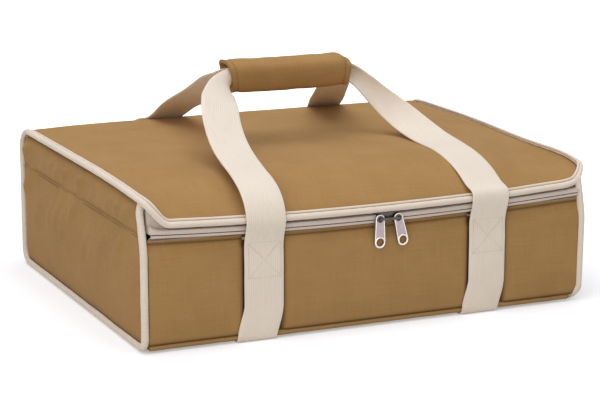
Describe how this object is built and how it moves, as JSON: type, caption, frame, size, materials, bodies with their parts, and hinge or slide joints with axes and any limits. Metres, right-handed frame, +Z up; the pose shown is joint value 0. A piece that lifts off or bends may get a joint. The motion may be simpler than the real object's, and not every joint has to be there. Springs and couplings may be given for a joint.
{
  "type": "pizza delivery bag",
  "caption": "Padded canvas box bag for flat food boxes, with a zipped hinged lid, piped edges, wrap-round webbing straps and a wrapped carrying grip.",
  "frame": {"origin": "on the floor, at the middle of the bag's whole box", "axes": "+X to the right along the zip, -Y out of the zipped front, +Z up"},
  "size_m": [0.4498, 0.3722, 0.2265],
  "materials": {
    "canvas": "tan cotton canvas, plain weave",
    "webbing": "cream cotton webbing",
    "piping": "cream fabric-covered cord",
    "zip_tape": "woven zip tape, warm grey",
    "zip_coil": "moulded coil teeth, warm grey",
    "zip_metal": "polished nickel plate",
    "foam": "closed-cell foam board",
    "lining": "silver laminated cloth",
    "board": "stiff board",
    "closure": "touch-closure tape"
  },
  "bodies": {
    "base": {"front_panel": "canvas", "back_panel": "canvas", "bottom_panel": "canvas", "left_side_panel": "canvas", "right_side_panel": "canvas", "left_gusset": "canvas", "right_gusset": "canvas", "left_foam": "foam", "right_foam": "foam", "front_foam": "foam", "back_foam": "foam", "bottom_foam": "foam", "left_lining": "lining", "right_lining": "lining", "front_lining": "lining", "back_lining": "lining", "bottom_lining": "lining", "base_board": "board", "left_side_piping": "piping", "right_side_piping": "piping", "front_hem_cord": "canvas", "back_hem_cord": "canvas", "lower_zip_tape": "zip_tape", "lower_zip_coil": "zip_coil", "left_sewn_strap": "webbing", "right_sewn_strap": "webbing"},
    "lid": {"lid_top_panel": "canvas", "lid_foam": "foam", "lid_lining": "lining", "lid_piping": "piping", "upper_zip_tape": "zip_tape", "upper_zip_coil": "zip_coil"},
    "front_loop": {"front_left_leg": "webbing", "front_right_leg": "webbing", "front_grip": "webbing", "handle_wrap": "canvas", "handle_foam": "foam", "hook_strip": "closure", "loop_strip": "closure"},
    "back_loop": {"back_left_leg": "webbing", "back_right_leg": "webbing", "back_grip": "webbing"},
    "left_slider": {"left_slider": "zip_metal"},
    "right_slider": {"right_slider": "zip_metal"},
    "left_pull": {"left_pull": "zip_metal"},
    "right_pull": {"right_pull": "zip_metal"}
  },
  "joints": [
    {"name": "lid_hinge", "type": "hinge", "parent": "base", "child": "lid", "pos_m": [0, 0.18671, 0.13], "axis": [-1, 0, 0], "range_deg": [0, 24], "deforming": ["left_gusset", "right_gusset"]},
    {"name": "front_loop_swing", "type": "hinge", "parent": "base", "child": "front_loop", "pos_m": [0, -0.18038, 0.0923], "axis": [1, 0, 0], "range_deg": [0, 163.2]},
    {"name": "back_loop_swing", "type": "hinge", "parent": "base", "child": "back_loop", "pos_m": [0, 0.18582, 0.0923], "axis": [-1, 0, 0], "range_deg": [0, 163.2]},
    {"name": "left_slider_travel", "type": "slide", "parent": "base", "child": "left_slider", "axis": [-1, 0, 0], "range_m": [0, 0.206], "deforming": ["front_left_leg"]},
    {"name": "right_slider_travel", "type": "slide", "parent": "base", "child": "right_slider", "axis": [1, 0, 0], "range_m": [0, 0.18], "deforming": ["front_right_leg"]},
    {"name": "left_pull_swing", "type": "hinge", "parent": "left_slider", "child": "left_pull", "pos_m": [0.00385, -0.18139, 0.101], "axis": [0, 1, 0], "range_deg": [-5, 90]},
    {"name": "right_pull_swing", "type": "hinge", "parent": "right_slider", "child": "right_pull", "pos_m": [0.02275, -0.18139, 0.101], "axis": [0, -1, 0], "range_deg": [-15, 77]}
  ],
  "couplings": [
    {"joint": "front_loop_swing", "follows": "lid_hinge", "ratio": 6.8},
    {"joint": "back_loop_swing", "follows": "lid_hinge", "ratio": 6.8}
  ]
}
